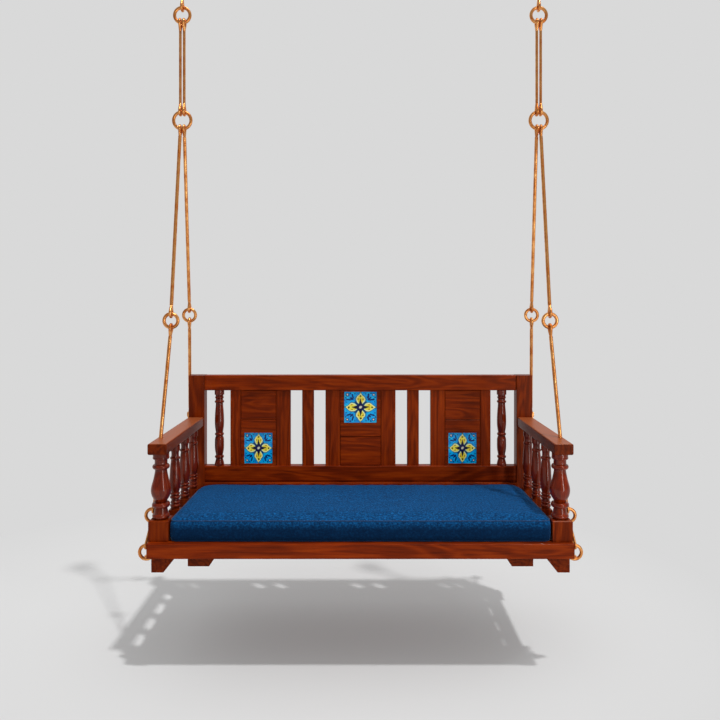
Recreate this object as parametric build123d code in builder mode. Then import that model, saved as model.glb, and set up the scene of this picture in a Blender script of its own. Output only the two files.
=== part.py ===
from build123d import *
import math
import os

os.makedirs("parts", exist_ok=True)

# A hanging bench swing. Millimetres, +X to the right of someone facing the seat, +Y to the back, +Z up.
# The origin is on the level of the feet, under the middle of the whole object.
# Depths are measured back from the front face of the front beam.

# Seat frame
seat_width = 1520
beam_depth = 45
frame_low = 50
frame_high = 104
side_rail_inner = 690
side_rail_outer = 742
back_beam_depth = (600, 644)
post_inner = 690
post_outer = 760
post_depth = (590, 644)
post_high = 640
edge_round = 3

# Deck
slat_count = 13
slat_width = 92
slat_pitch = 106
slat_thickness = 18
cleat_size = 24

# Feet and bearers
foot_top = (662, 745)
foot_bottom_inner = 702
foot_length = 84
foot_front_depth = 8
bearer_top = (520, 615)
bearer_bottom_inner = 539
bearer_low = 22

# Armrests and their turned supports
arm_inner = 694
arm_outer = 763
arm_low = 415
arm_high = 455
arm_front_depth = 20
arm_round = 6
front_post_size = 72
front_post_x = 724
front_post_depth = 56
front_block_high = 179
baluster_x = 712
baluster_depths = (198, 338, 478)
baluster_block = 40
baluster_block_high = 170

# Back
rail_depth = (597, 637)
top_rail_low = 573
bottom_rail = (172, 238)
low_board_depth = (584, 606)
low_board_high = 166
groove_depth = 601
stile_depth = (605, 629)
slat_depth = (608, 626)
panel_depth = (606, 623)
tongue_depth = (613, 621)
board_gap = 1.6
stile_outer = (532.6, 578)
stile_middle = (311.2, 374.4)
stile_inner = (91.1, 155.6)
flat_slat = (207.3, 259.5)
spindle_x = 629
side_cross_rail = (388, 441)
centre_cross_rail = (368, 423)
side_window = (247, 384)
side_window_width = 125.5
centre_window = (428, 566)
centre_window_width = 145
rebate = 3.5
tile_thickness = 8
tile_recess = 4
tile_gap = 0.2

# Cushion
cushion_half_width = 684
cushion_depth = (25, 580)
cushion_high = 180
cushion_corner = 22
cushion_edge = 14
rest_gap = 0.3

# Suspension. A tip is the middle of the wire at the far end of a rod's eye.
rod_radius = 7
short_rod_radius = 5.5
eye_wire = 5.5
eye_radius = 14.5
eye_neck = 32
collar_radius = 9.3
short_collar_radius = 7.6
collar_half = 8
ring_wire = 6.5
base_wire = 6
hook_gap = 0.4
pair_spread = 8
hang_x = 732
hang_depth = 378.5
top_ring_z = 2142
top_ring_radius = 31.5
second_ring_z = 1710
second_ring_radius = 35.5
mid_ring_radius = 26.5
front_mid = (728.4, 200, 892)
back_mid = (753.3, 580, 907)
upper_base_ring = (769, 100.5, 175)
upper_base_radius = 24
lower_base_ring = (779, 62, 53)
lower_base_radius = 25
rod_shift = 6
arm_hole_radius = 8.7

# Oval links and staples at the front, brackets at the back
link_wire = 4.5
link_radius = 12
staple_wire = 4.5
staple_radius = 12
staple_crown_x = 781
staple_end_x = 712
pin_x = 782
pin_depth = 703
pin_z = 450
pin_radius = 7
bracket_radius = 22
bracket_thickness = 5
bracket_front_depth = 596
screw_depths = (606, 630)
screw_heights = (439, 461)
screw_radius = 2.5
screw_head_radius = 5
screw_head_height = 2.5
screw_length = 25

# Ceiling fittings
ceiling_z = 2386
plate_radius = 50
plate_thickness = 8
plate_bolt_circle = 74
plate_hole_radius = 3.5
ceiling_eye_z = 2336
ceiling_eye_radius = 24
ceiling_eye_wire = 7
stem_radius = 9

overall_depth = pin_depth + bracket_radius
sides = {"left": -1, "right": 1}
across = Vector(1, 0, 0)


def place(x, depth, z):
    """A point, from its distance right of the middle, its depth and its height."""
    return Vector(x, depth - overall_depth / 2, z)


def keep(piece, name):
    """Labels a finished piece and writes its file."""
    piece.part.label = name
    export_step(piece.part, f"parts/{name}.step")


def block(x_range, depth_range, z_range):
    """Adds a rectangular block between three pairs of limits."""
    middle = place(sum(x_range) / 2, sum(depth_range) / 2, z_range[0])
    with BuildSketch(Plane(origin=middle)) as footprint:
        Rectangle(abs(x_range[1] - x_range[0]), depth_range[1] - depth_range[0])
    extrude(footprint.sketch, amount=z_range[1] - z_range[0])


def bar(start, end, radius):
    """Adds a round bar between two points."""
    with BuildSketch(Plane(origin=start, z_dir=end - start)) as section:
        Circle(radius)
    extrude(section.sketch, amount=(end - start).length)


def timber(name, x_range, depth_range, z_range, softening=edge_round):
    """Writes one straight timber with its long edges eased."""
    with BuildPart() as piece:
        block(x_range, depth_range, z_range)
        spans = [abs(pair[1] - pair[0]) for pair in (x_range, depth_range, z_range)]
        length_axis = (Axis.X, Axis.Y, Axis.Z)[spans.index(max(spans))]
        fillet(piece.edges().filter_by(length_axis), softening)
    keep(piece, name)


def ring(centre, radius, wire):
    """Adds a wire ring that faces the front."""
    with BuildSketch(Plane(origin=centre)) as section:
        with Locations((radius, 0)):
            Circle(wire)
    revolve(section.sketch, axis=Axis(centre, (0, 1, 0)))


def eye(tip, toward):
    """Adds the drop-shaped eye at a rod's end and returns the point where its wire closes."""
    centre = tip + toward * eye_radius
    neck = centre + toward * eye_neck
    facing = (across - toward * across.dot(toward)).normalized()
    swing = math.acos(eye_radius / eye_neck)
    touch = Vector(eye_radius * math.cos(swing), eye_radius * math.sin(swing))
    near_neck = touch + (Vector(eye_neck, 0) - touch) * 0.96
    frame = Plane(origin=centre, x_dir=toward, z_dir=facing)
    with BuildLine(frame) as path:
        Line((near_neck.X, near_neck.Y), (touch.X, touch.Y))
        ThreePointArc((touch.X, touch.Y), (-eye_radius, 0), (touch.X, -touch.Y))
        Line((touch.X, -touch.Y), (near_neck.X, -near_neck.Y))
    with BuildSketch(Plane(origin=path.line @ 0, z_dir=path.line % 0)) as section:
        Circle(eye_wire)
    sweep(section.sketch, path=path.line)
    return neck


def collar(middle, direction, radius):
    """Adds the forged collar where an eye closes on its rod."""
    facing = (across - direction * across.dot(direction)).normalized()
    with BuildSketch(Plane(origin=middle, x_dir=direction.cross(facing), z_dir=facing)) as outline:
        with BuildLine():
            Polyline(
                (0, -collar_half),
                (radius - 1.5, -collar_half),
                (radius, -collar_half + 2),
                (radius, collar_half - 2),
                (radius - 1.5, collar_half),
                (0, collar_half),
                close=True,
            )
        make_face()
    revolve(outline.sketch, axis=Axis(middle, direction))


def wire_point(centre, radius, rise, offset=0.0):
    """A point on a ring's middle line, at the top (rise 1) or the bottom (rise -1), a little to one side."""
    return centre + Vector(offset, 0, rise * math.sqrt(radius**2 - offset**2))


def ring_reach(point, centre, radius, pull, clear):
    """How far past a ring's middle line an eye's tip goes, against its rod's pull, to bear on the ring."""
    reach = clear
    for _ in range(5):
        tip = point - pull * reach - centre
        away = math.hypot(radius - math.hypot(tip.X, tip.Z), tip.Y)
        reach += clear - away
    return reach


def hooked_rod(name, upper, lower, radius=rod_radius, collar_size=collar_radius):
    """Writes a straight rod with an eye at each end.

    Each end is (ring centre, ring radius, wire radius, rise, offset, gap). A pin has a ring radius of 0.
    """
    points = [wire_point(end[0], end[1], end[3], end[4]) for end in (upper, lower)]
    down = (points[1] - points[0]).normalized()
    tips = []
    for point, end, pull in zip(points, (upper, lower), (down, down * -1)):
        clear = end[2] + eye_wire + end[5]
        reach = ring_reach(point, end[0], end[1], pull, clear) if end[1] else clear
        tips.append(point - pull * reach)
    with BuildPart() as rod:
        upper_neck = eye(tips[0], down)
        lower_neck = eye(tips[1], down * -1)
        bar(upper_neck, lower_neck, radius)
        collar(upper_neck, down, collar_size)
        collar(lower_neck, down, collar_size)
    keep(rod, name)


def turned(x, depth, core, beads, cap):
    """Adds a turned piece: a smooth core, round beads and a flat cap, all spun about one axis.

    The core is a list of (radius, height), a bead is (radius, height, half height)
    and the cap is (radius, low, high).
    """
    foot = place(x, depth, 0)
    upright = Plane(origin=foot, x_dir=(1, 0, 0), z_dir=(0, -1, 0))
    with BuildSketch(upright) as outline:
        with BuildLine():
            side = Spline(*core)
            Polyline(side @ 1, (0, core[-1][1]), (0, core[0][1]), side @ 0)
        make_face()
        with Locations((cap[0] / 2, (cap[1] + cap[2]) / 2)):
            Rectangle(cap[0], cap[2] - cap[1])
    revolve(outline.sketch, axis=Axis(foot, (0, 0, 1)))
    for radius, height, half in beads:
        with BuildSketch(upright) as bead:
            with Locations((radius - half, height)):
                Circle(half)
        revolve(bead.sketch, axis=Axis(foot, (0, 0, 1)))


# ---------------------------------------------------------------- seat frame

timber("front_beam", (-seat_width / 2, seat_width / 2), (0, beam_depth), (frame_low, frame_high))
timber("back_beam", (-post_inner, post_inner), back_beam_depth, (frame_low, frame_high))

for side, sign in sides.items():
    rail_x = sorted((sign * side_rail_inner, sign * side_rail_outer))
    timber(f"side_rail_{side}", rail_x, (beam_depth, post_depth[0]), (frame_low, frame_high))
    post_x = sorted((sign * post_inner, sign * post_outer))
    timber(f"back_post_{side}", post_x, post_depth, (frame_low, post_high))

deck_low = frame_high - slat_thickness

with BuildPart() as slat_cleats:
    front_cleat = (beam_depth, beam_depth + cleat_size)
    rear_cleat = (back_beam_depth[0] - cleat_size, back_beam_depth[0])
    for depths in (front_cleat, rear_cleat):
        block((-post_inner + 2, post_inner - 2), depths, (deck_low - cleat_size, deck_low))
keep(slat_cleats, "slat_cleats")

with BuildPart() as deck_slats:
    for number in range(slat_count):
        middle_x = (number - (slat_count - 1) / 2) * slat_pitch
        block(
            (middle_x - slat_width / 2, middle_x + slat_width / 2),
            (beam_depth, back_beam_depth[0]),
            (deck_low, frame_high),
        )
keep(deck_slats, "deck_slats")


def tapered_block(x_outline, depth_range):
    """Adds a block whose front outline is a list of (x, z)."""
    start = place(0, depth_range[1], 0)
    with BuildSketch(Plane(origin=start, x_dir=(1, 0, 0), z_dir=(0, -1, 0))) as front:
        with BuildLine():
            Polyline(*x_outline, close=True)
        make_face()
    extrude(front.sketch, amount=depth_range[1] - depth_range[0])


with BuildPart() as feet:
    for front in (foot_front_depth, post_depth[1] - foot_length):
        for sign in sides.values():
            outline = (
                (sign * foot_top[0], frame_low),
                (sign * foot_top[1], frame_low),
                (sign * foot_top[1], 0),
                (sign * foot_bottom_inner, 0),
            )
            tapered_block(outline, (front, front + foot_length))
keep(feet, "feet")

with BuildPart() as bearers:
    for sign in sides.values():
        outline = (
            (sign * bearer_top[0], frame_low),
            (sign * bearer_top[1], frame_low),
            (sign * bearer_top[1], bearer_low),
            (sign * bearer_bottom_inner, bearer_low),
        )
        tapered_block(outline, (foot_front_depth, back_beam_depth[0]))
keep(bearers, "bearers")

# ---------------------------------------------------------------- armrests and turned supports

front_post_core = (
    (24, 178),
    (24, 207),
    (22.5, 245),
    (28.5, 254.5),
    (33.5, 266),
    (35.8, 281),
    (34.2, 296),
    (28.7, 316),
    (24, 337),
    (21.6, 351),
    (21.5, 364),
    (22.7, 378),
    (22.7, 391),
    (25, 400),
    (26, 406),
)
front_post_beads = ((31.2, 189.2, 9.7), (32.3, 229, 10.3), (30.7, 367, 9), (29.6, 399, 5.5))

baluster_core = (
    (16.5, 169),
    (16, 178),
    (15.5, 192),
    (14.5, 204),
    (15, 236),
    (18, 246),
    (20.8, 262),
    (21.4, 280),
    (20.3, 302),
    (18.3, 334),
    (15.5, 358),
    (14.5, 373),
    (14.5, 387),
    (16.5, 396),
    (17, 406),
)
baluster_beads = (
    (19, 183.5, 6.5),
    (17.5, 196.5, 4.5),
    (19.5, 216, 6.5),
    (18.3, 229, 5),
    (18.9, 365.5, 6.5),
)

for side, sign in sides.items():
    with BuildPart() as front_post:
        half = front_post_size / 2
        block(
            (sign * front_post_x - half, sign * front_post_x + half),
            (front_post_depth - half, front_post_depth + half),
            (frame_high, front_block_high),
        )
        chamfer(front_post.faces().sort_by(Axis.Z)[-1].edges(), 3)
        axis_x = sign * front_post_x
        turned(axis_x, front_post_depth, front_post_core, front_post_beads, (28.8, 399, arm_low))
    keep(front_post, f"front_post_{side}")

    with BuildPart() as balusters:
        half = baluster_block / 2
        for depth in baluster_depths:
            block(
                (sign * baluster_x - half, sign * baluster_x + half),
                (depth - half, depth + half),
                (frame_high, baluster_block_high),
            )
            turned(sign * baluster_x, depth, baluster_core, baluster_beads, (18.5, 394, arm_low))
    keep(balusters, f"balusters_{side}")

# ---------------------------------------------------------------- suspension points


def mirrored(point, sign):
    """A suspension point on the left (sign -1) or right (sign 1)."""
    return place(sign * point[0], point[1], point[2])


def front_lower_ends(sign):
    """The two ends of the front lower rod, which passes through the armrest."""
    upper = (mirrored(front_mid, sign), mid_ring_radius, ring_wire, -1, 0, 0)
    lower = (mirrored(upper_base_ring, sign), upper_base_radius, base_wire, 1, -sign * rod_shift, 0)
    return upper, lower


for side, sign in sides.items():
    upper, lower = (wire_point(end[0], end[1], end[3], end[4]) for end in front_lower_ends(sign))
    with BuildPart() as armrest:
        block(
            sorted((sign * arm_inner, sign * arm_outer)),
            (arm_front_depth, post_depth[0]),
            (arm_low, arm_high),
        )
        fillet(armrest.edges().filter_by(Axis.Y), arm_round)
        chamfer(armrest.faces().sort_by(Axis.Y)[0].edges(), 2)
        with BuildSketch(Plane(origin=lower, z_dir=upper - lower)):
            Circle(arm_hole_radius)
        extrude(amount=(upper - lower).length, mode=Mode.SUBTRACT)
    keep(armrest, f"armrest_{side}")

# ---------------------------------------------------------------- back

timber("top_rail", (-post_inner, post_inner), rail_depth, (top_rail_low, post_high))

with BuildPart() as low_back:
    end_plane = Plane(origin=place(-post_inner, 0, 0), x_dir=(0, 1, 0), z_dir=(1, 0, 0))
    with BuildSketch(end_plane) as profile:
        with BuildLine():
            Polyline(
                (low_board_depth[0], frame_high),
                (low_board_depth[1], frame_high),
                (low_board_depth[1], bottom_rail[0]),
                (rail_depth[1], bottom_rail[0]),
                (rail_depth[1], bottom_rail[1]),
                (rail_depth[0], bottom_rail[1]),
                (rail_depth[0], bottom_rail[0]),
                (groove_depth, bottom_rail[0]),
                (groove_depth, low_board_high),
                (low_board_depth[0], low_board_high),
                close=True,
            )
        make_face()
    extrude(profile.sketch, amount=2 * post_inner)
    fillet(low_back.edges().filter_by(Axis.X).sort_by(Axis.Y)[:4], edge_round)
keep(low_back, "bottom_rail")

back_heights = (bottom_rail[1], top_rail_low)


def both_sides(x_range, depth_range, z_range):
    """Adds a block on the right and its mirror image on the left."""
    block(x_range, depth_range, z_range)
    block((-x_range[1], -x_range[0]), depth_range, z_range)


with BuildPart() as stiles:
    for x_range in (stile_outer, stile_middle, stile_inner):
        both_sides(x_range, stile_depth, back_heights)
    chamfer(stiles.edges().filter_by(Axis.Z), 1.5)
keep(stiles, "stiles")

with BuildPart() as flat_slats:
    both_sides(flat_slat, slat_depth, back_heights)
    chamfer(flat_slats.edges().filter_by(Axis.Z), 2)
keep(flat_slats, "flat_slats")

spindle_core = (
    (21, 244),
    (18.5, 256),
    (16, 265),
    (16, 289),
    (18.3, 300),
    (20.3, 318),
    (20.3, 345),
    (19, 360),
    (16.3, 368),
    (16.3, 388),
    (18, 399),
    (20.2, 420),
    (20.4, 445),
    (18, 487),
    (16.3, 512),
    (16.3, 532),
    (17, 548),
    (20, 560),
)
spindle_beads = ((20, 276.5, 8), (20, 377, 7.5), (21, 521.5, 6), (19.2, 540, 7))

for side, sign in sides.items():
    with BuildPart() as spindle:
        middle_depth = sum(rail_depth) / 2
        turned(sign * spindle_x, middle_depth, spindle_core, spindle_beads, (21.3, 553, top_rail_low))
        with BuildSketch(Plane(origin=place(sign * spindle_x, middle_depth, bottom_rail[1]))):
            Circle(21)
        extrude(amount=8)
    keep(spindle, f"back_spindle_{side}")

bay_x = (stile_middle[1], stile_outer[0])
centre_x = (-stile_inner[0], stile_inner[0])


def tongued(x_range, depth_range, z_range, gap_z=0):
    """Adds a board whose face stands a little clear of its frame, on a tongue that meets the frame."""
    face_x = (x_range[0] + board_gap, x_range[1] - board_gap)
    block(x_range, tongue_depth, z_range)
    block(face_x, depth_range, (z_range[0] + gap_z, z_range[1] - gap_z))


with BuildPart() as cross_rails:
    for x_range in (bay_x, (-bay_x[1], -bay_x[0])):
        tongued(x_range, stile_depth, side_cross_rail)
    tongued(centre_x, stile_depth, centre_cross_rail)
    chamfer(cross_rails.faces().filter_by(Axis.Y).group_by(Axis.Y)[0].edges(), 1)
keep(cross_rails, "cross_rails")

with BuildPart() as panels:
    for x_range in (bay_x, (-bay_x[1], -bay_x[0])):
        tongued(x_range, panel_depth, (side_cross_rail[1], top_rail_low), board_gap)
    tongued(centre_x, panel_depth, (bottom_rail[1], centre_cross_rail[0]), board_gap)
    chamfer(panels.faces().filter_by(Axis.Y).group_by(Axis.Y)[0].edges(), 1.5)
keep(panels, "panels")


def window_board(middle_x, width, board_heights, window_width, window_heights):
    """Adds the board that frames a tile: a square window with a rebate behind it for the tile."""
    tile_front = stile_depth[0] + tile_recess
    tongued((middle_x - width / 2, middle_x + width / 2), stile_depth, board_heights)
    window_z = sum(window_heights) / 2
    height = window_heights[1] - window_heights[0]
    rear = Plane(origin=place(middle_x, stile_depth[1], window_z), x_dir=(1, 0, 0), z_dir=(0, -1, 0))
    with BuildSketch(rear) as window:
        Rectangle(window_width, height)
    extrude(window.sketch, amount=stile_depth[1] - stile_depth[0], mode=Mode.SUBTRACT)
    with BuildSketch(rear) as seat:
        Rectangle(window_width + 2 * rebate, height + 2 * rebate)
    extrude(seat.sketch, amount=stile_depth[1] - tile_front, mode=Mode.SUBTRACT)


def tile(name, middle_x, window_width, window_heights):
    """Writes a glazed tile with softened front edges, seated in its board's rebate."""
    tile_front = stile_depth[0] + tile_recess
    height = window_heights[1] - window_heights[0]
    origin = place(middle_x, tile_front + tile_thickness, sum(window_heights) / 2)
    with BuildPart() as glazed:
        with BuildSketch(Plane(origin=origin, x_dir=(1, 0, 0), z_dir=(0, -1, 0))):
            Rectangle(window_width + 2 * rebate - 2 * tile_gap, height + 2 * rebate - 2 * tile_gap)
        extrude(amount=tile_thickness)
        chamfer(glazed.faces().sort_by(Axis.Y)[0].edges(), 0.8)
    keep(glazed, name)


side_board = (bottom_rail[1], side_cross_rail[0])
centre_board = (centre_cross_rail[1], top_rail_low)
bay_width = bay_x[1] - bay_x[0]
with BuildPart() as tile_frames:
    for sign in sides.values():
        window_board(sign * sum(bay_x) / 2, bay_width, side_board, side_window_width, side_window)
    window_board(0, 2 * stile_inner[0], centre_board, centre_window_width, centre_window)
keep(tile_frames, "tile_frames")

for side, sign in sides.items():
    tile(f"tile_{side}", sign * sum(bay_x) / 2, side_window_width, side_window)
tile("tile_centre", 0, centre_window_width, centre_window)

# ---------------------------------------------------------------- cushion

with BuildPart() as cushion:
    block((-cushion_half_width, cushion_half_width), cushion_depth, (frame_high + rest_gap, cushion_high))
    fillet(cushion.edges().filter_by(Axis.Z), cushion_corner)
    fillet(cushion.faces().sort_by(Axis.Z)[-1].edges(), cushion_edge)
keep(cushion, "cushion")

# ---------------------------------------------------------------- suspension

for side, sign in sides.items():
    top_centre = place(sign * hang_x, hang_depth, top_ring_z)
    second_centre = place(sign * hang_x, hang_depth, second_ring_z)
    front_centre = mirrored(front_mid, sign)
    back_centre = mirrored(back_mid, sign)
    ceiling_centre = place(sign * hang_x, hang_depth, ceiling_eye_z)

    ring_places = (
        ("top_ring", top_centre, top_ring_radius),
        ("second_ring", second_centre, second_ring_radius),
        ("front_middle_ring", front_centre, mid_ring_radius),
        ("back_middle_ring", back_centre, mid_ring_radius),
    )
    for name, centre, radius in ring_places:
        with BuildPart() as loop:
            ring(centre, radius, ring_wire)
        keep(loop, f"{name}_{side}")

    hooked_rod(
        f"ceiling_rod_{side}",
        (ceiling_centre, ceiling_eye_radius, ceiling_eye_wire, -1, 0, hook_gap),
        (top_centre, top_ring_radius, ring_wire, 1, 0, hook_gap),
    )
    for name, spread in (("front", pair_spread), ("back", -pair_spread)):
        hooked_rod(
            f"short_rod_{name}_{side}",
            (top_centre, top_ring_radius, ring_wire, -1, sign * spread, 0),
            (second_centre, second_ring_radius, ring_wire, 1, sign * spread, 0),
            short_rod_radius,
            short_collar_radius,
        )
    for name, spread, centre in (("front", pair_spread, front_centre), ("back", -pair_spread, back_centre)):
        hooked_rod(
            f"long_rod_{name}_{side}",
            (second_centre, second_ring_radius, ring_wire, -1, sign * spread, hook_gap),
            (centre, mid_ring_radius, ring_wire, 1, 0, 0),
        )
    hooked_rod(f"lower_rod_front_{side}", *front_lower_ends(sign))
    hooked_rod(
        f"lower_rod_back_{side}",
        (back_centre, mid_ring_radius, ring_wire, -1, 0, 0),
        (place(sign * pin_x, pin_depth, pin_z), 0, pin_radius, 1, 0, 0),
    )

with BuildPart() as base_rings:
    for sign in sides.values():
        ring(mirrored(upper_base_ring, sign), upper_base_radius, base_wire)
        ring(mirrored(lower_base_ring, sign), lower_base_radius, base_wire)
keep(base_rings, "base_rings")

with BuildPart() as oval_links:
    for sign in sides.values():
        upper_wire = mirrored(upper_base_ring, sign) - Vector(0, 0, upper_base_radius)
        lower_wire = mirrored(lower_base_ring, sign) + Vector(0, 0, lower_base_radius)
        down = (lower_wire - upper_wire).normalized()
        slack = link_radius - link_wire - base_wire
        half_span = (lower_wire - upper_wire).length / 2 - slack
        facing = (across - down * across.dot(down)).normalized()
        with BuildLine(Plane(origin=(upper_wire + lower_wire) / 2, x_dir=down, z_dir=facing)) as oval:
            Line((-half_span, link_radius), (half_span, link_radius))
            ThreePointArc((half_span, link_radius), (half_span + link_radius, 0), (half_span, -link_radius))
            Line((half_span, -link_radius), (-half_span, -link_radius))
            far_end = (-half_span - link_radius, 0)
            ThreePointArc((-half_span, -link_radius), far_end, (-half_span, link_radius))
        with BuildSketch(Plane(origin=oval.line @ 0, z_dir=oval.line % 0)):
            Circle(link_wire)
        sweep(path=oval.line)
keep(oval_links, "oval_links")

crown_reach = lower_base_radius - base_wire - staple_wire
crown_drop = math.sqrt(crown_reach**2 - (staple_crown_x - lower_base_ring[0]) ** 2)
staple_z = lower_base_ring[2] - crown_drop

with BuildPart() as front_staples:
    for sign in sides.values():
        bend_x = staple_crown_x - staple_radius
        base = place(0, lower_base_ring[1], staple_z)
        with BuildLine(Plane(origin=base)) as bent:
            Line((sign * staple_end_x, staple_radius), (sign * bend_x, staple_radius))
            ThreePointArc(
                (sign * bend_x, staple_radius), (sign * staple_crown_x, 0), (sign * bend_x, -staple_radius)
            )
            Line((sign * bend_x, -staple_radius), (sign * staple_end_x, -staple_radius))
        with BuildSketch(Plane(origin=bent.line @ 0, z_dir=bent.line % 0)):
            Circle(staple_wire)
        sweep(path=bent.line)
keep(front_staples, "front_staples")

with BuildPart() as back_brackets:
    for sign in sides.values():
        face = Plane(origin=place(sign * post_outer, 0, pin_z), x_dir=(0, 1, 0), z_dir=(1, 0, 0))
        length = pin_depth - bracket_front_depth
        with BuildSketch(face):
            with Locations((bracket_front_depth + length / 2, 0)):
                Rectangle(length, 2 * bracket_radius)
            with Locations((pin_depth, 0)):
                Circle(bracket_radius)
                Circle(pin_radius, mode=Mode.SUBTRACT)
            for depth in screw_depths:
                for height in screw_heights:
                    with Locations((depth, height - pin_z)):
                        Circle(screw_radius, mode=Mode.SUBTRACT)
        extrude(amount=sign * bracket_thickness)
keep(back_brackets, "back_brackets")

with BuildPart() as bracket_screws:
    for sign in sides.values():
        head_x = post_outer + bracket_thickness
        for depth in screw_depths:
            for height in screw_heights:
                head = place(sign * head_x, depth, height)
                outward = Vector(sign, 0, 0)
                bar(head, head + outward * screw_head_height, screw_head_radius)
                bar(head, head - outward * screw_length, screw_radius)
keep(bracket_screws, "bracket_screws")

with BuildPart() as bracket_pins:
    for sign in sides.values():
        steps = (
            (post_outer - 3, post_outer, 10),
            (post_outer, 789, pin_radius),
            (post_outer + bracket_thickness, 775.5, 11),
            (788.5, 793, 12),
        )
        for inner_x, outer_x, radius in steps:
            bar(place(sign * inner_x, pin_depth, pin_z), place(sign * outer_x, pin_depth, pin_z), radius)
keep(bracket_pins, "bracket_pins")

# ---------------------------------------------------------------- ceiling fittings

with BuildPart() as ceiling_plates:
    for sign in sides.values():
        under = place(sign * hang_x, hang_depth, ceiling_z - plate_thickness)
        with BuildSketch(Plane(origin=under)):
            Circle(plate_radius)
            with PolarLocations(plate_bolt_circle / 2, 4, start_angle=45):
                Circle(plate_hole_radius, mode=Mode.SUBTRACT)
        extrude(amount=plate_thickness)
keep(ceiling_plates, "ceiling_plates")

with BuildPart() as ceiling_eyes:
    for sign in sides.values():
        centre = place(sign * hang_x, hang_depth, ceiling_eye_z)
        ring(centre, ceiling_eye_radius, ceiling_eye_wire)
        stem_low = Vector(0, 0, ceiling_eye_radius)
        stem_high = Vector(0, 0, ceiling_z - plate_thickness - ceiling_eye_z)
        bar(centre + stem_low, centre + stem_high, stem_radius)
keep(ceiling_eyes, "ceiling_eyes")
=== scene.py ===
import math
import bpy
import numpy as np
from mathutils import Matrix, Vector


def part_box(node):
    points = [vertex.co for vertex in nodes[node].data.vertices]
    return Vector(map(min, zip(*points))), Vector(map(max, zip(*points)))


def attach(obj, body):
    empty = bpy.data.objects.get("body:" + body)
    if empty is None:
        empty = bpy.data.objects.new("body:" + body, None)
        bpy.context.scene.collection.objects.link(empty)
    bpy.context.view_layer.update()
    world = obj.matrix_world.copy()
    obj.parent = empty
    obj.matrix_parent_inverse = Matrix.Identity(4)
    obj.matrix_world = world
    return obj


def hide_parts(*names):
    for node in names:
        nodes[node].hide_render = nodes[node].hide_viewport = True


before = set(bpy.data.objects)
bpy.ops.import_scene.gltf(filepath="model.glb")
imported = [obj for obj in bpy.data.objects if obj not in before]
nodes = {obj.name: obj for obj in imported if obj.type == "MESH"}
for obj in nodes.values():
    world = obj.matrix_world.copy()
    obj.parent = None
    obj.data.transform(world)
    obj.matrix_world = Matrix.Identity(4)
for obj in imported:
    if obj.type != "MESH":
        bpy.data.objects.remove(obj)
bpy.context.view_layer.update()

# A hanging bench swing, in metres: +X to the right, +Y to the back, +Z up.

MM = 0.001
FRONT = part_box("front_beam")[0].y
CUSHION_LOW, CUSHION_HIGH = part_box("cushion")
SEAM_HEIGHT = CUSHION_HIGH.z - 1 * MM
ARM_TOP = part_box("armrest_left")[1].z
BLOCK_TOP = 182 * MM  # The front posts are square blocks below this height and turned above it.

# ---------------------------------------------------------------- mesh helpers


def mesh_object(name, vertices, faces):
    """Makes a smoothly shaded object of a vertex array and a list or array of faces."""
    mesh = bpy.data.meshes.new(name)
    points = [tuple(v) for v in np.asarray(vertices, float)]
    mesh.from_pydata(points, [], [tuple(int(i) for i in f) for f in faces])
    mesh.update()
    mesh.polygons.foreach_set("use_smooth", np.full(len(mesh.polygons), True))
    made = bpy.data.objects.new(name, mesh)
    bpy.context.scene.collection.objects.link(made)
    return made


def grid_faces(rows, columns, closed=False, start=0):
    """Quads of a grid of points, row by row, wrapped round both ways where it is closed."""
    r = np.arange(rows if closed else rows - 1)
    c = np.arange(columns if closed else columns - 1)
    r, c = np.meshgrid(r, c, indexing="ij")
    r_next = (r + 1) % rows
    c_next = (c + 1) % columns
    quads = np.stack(
        [r * columns + c, r * columns + c_next, r_next * columns + c_next, r_next * columns + c], axis=-1
    )
    return quads.reshape(-1, 4) + start


def grid_rim(rows, columns):
    """The numbers of the points once round the edge of a grid."""
    ids = np.arange(rows * columns).reshape(rows, columns)
    return np.concatenate([ids[:-1, 0], ids[-1, :-1], ids[:0:-1, -1], ids[0, :0:-1]])


def save_uv(made, uv):
    """Writes one UV pair per vertex into the piece's map."""
    layer = made.data.uv_layers.new(name="map")
    loops = np.zeros(len(made.data.loops), np.int32)
    made.data.loops.foreach_get("vertex_index", loops)
    layer.data.foreach_set("uv", np.asarray(uv, np.float32)[loops].ravel())


# ---------------------------------------------------------------- shader tools

# Where a Mix node that blends colours has its sockets.
MIX_FACTOR, MIX_A, MIX_B, MIX_RESULT = 0, 6, 7, 2


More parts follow.
